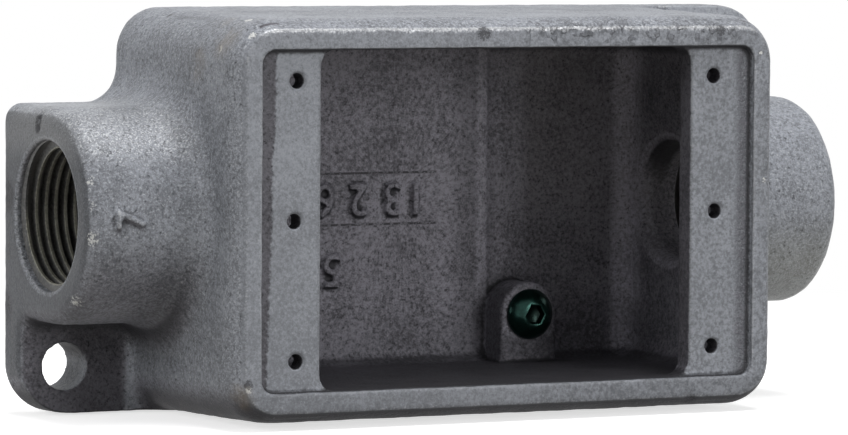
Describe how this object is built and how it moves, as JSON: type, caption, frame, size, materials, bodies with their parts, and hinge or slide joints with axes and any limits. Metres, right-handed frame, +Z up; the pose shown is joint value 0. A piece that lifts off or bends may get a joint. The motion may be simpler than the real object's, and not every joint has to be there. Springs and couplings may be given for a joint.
{
  "type": "cast device box",
  "caption": "Open-fronted cast wiring box with a threaded conduit hub at each end, diagonal mounting lugs, tapped device and cover holes, and a green ground screw on a boss inside.",
  "frame": {"origin": "centre of the back mounting plane", "axes": "+X along the two hubs, +Y out of the back towards the wall, +Z up; the open front faces -Y"},
  "size_m": [0.1498, 0.0508, 0.0712],
  "materials": {
    "cast_metal": "as cast under a thin silver-grey coat, satin and slightly speckled, with the pads and the rim paler",
    "green_screw": "deep green dyed plating, glossy"
  },
  "bodies": {
    "root": {"box_casting": "cast_metal", "ground_screw": "green_screw"}
  },
  "joints": []
}
